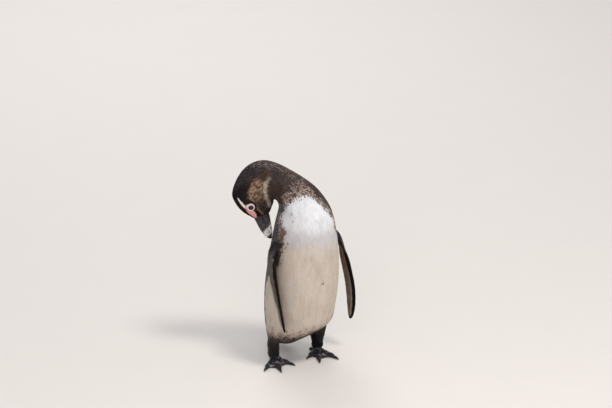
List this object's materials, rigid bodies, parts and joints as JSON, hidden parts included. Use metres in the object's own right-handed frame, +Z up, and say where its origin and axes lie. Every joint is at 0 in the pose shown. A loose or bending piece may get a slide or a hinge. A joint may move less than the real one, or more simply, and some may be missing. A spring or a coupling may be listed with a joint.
{
  "type": "african penguin",
  "caption": "Still, life-size young African penguin standing on its webbed feet, with its neck arched to one side to preen its shoulder.",
  "frame": {"origin": "on the floor, under the middle of the bounding box", "axes": "+Z up; the bird faces -Y and its left is +X"},
  "size_m": [0.2356, 0.1696, 0.4097],
  "materials": {
    "dark_plumage": "short dense dark grey-brown feathers, matt",
    "pale_plumage": "short dense white to cream feathers, matt",
    "bill_horn": "black horn, satin, with a pale band near the tip",
    "eye": "dark brown, wet gloss",
    "foot_skin": "black scaly skin, mottled with pink",
    "claw_horn": "black horn, satin"
  },
  "bodies": {
    "root": {"trunk": "pale_plumage", "neck": "dark_plumage", "head": "dark_plumage", "bill_upper": "bill_horn", "bill_lower": "bill_horn", "eye_left": "eye", "eye_right": "eye", "flipper_left": "dark_plumage", "flipper_right": "dark_plumage", "tail": "dark_plumage", "leg_left": "foot_skin", "foot_left": "foot_skin", "claw_left_inner": "claw_horn", "claw_left_middle": "claw_horn", "claw_left_outer": "claw_horn", "leg_right": "foot_skin", "foot_right": "foot_skin", "claw_right_inner": "claw_horn", "claw_right_middle": "claw_horn", "claw_right_outer": "claw_horn"}
  },
  "joints": []
}
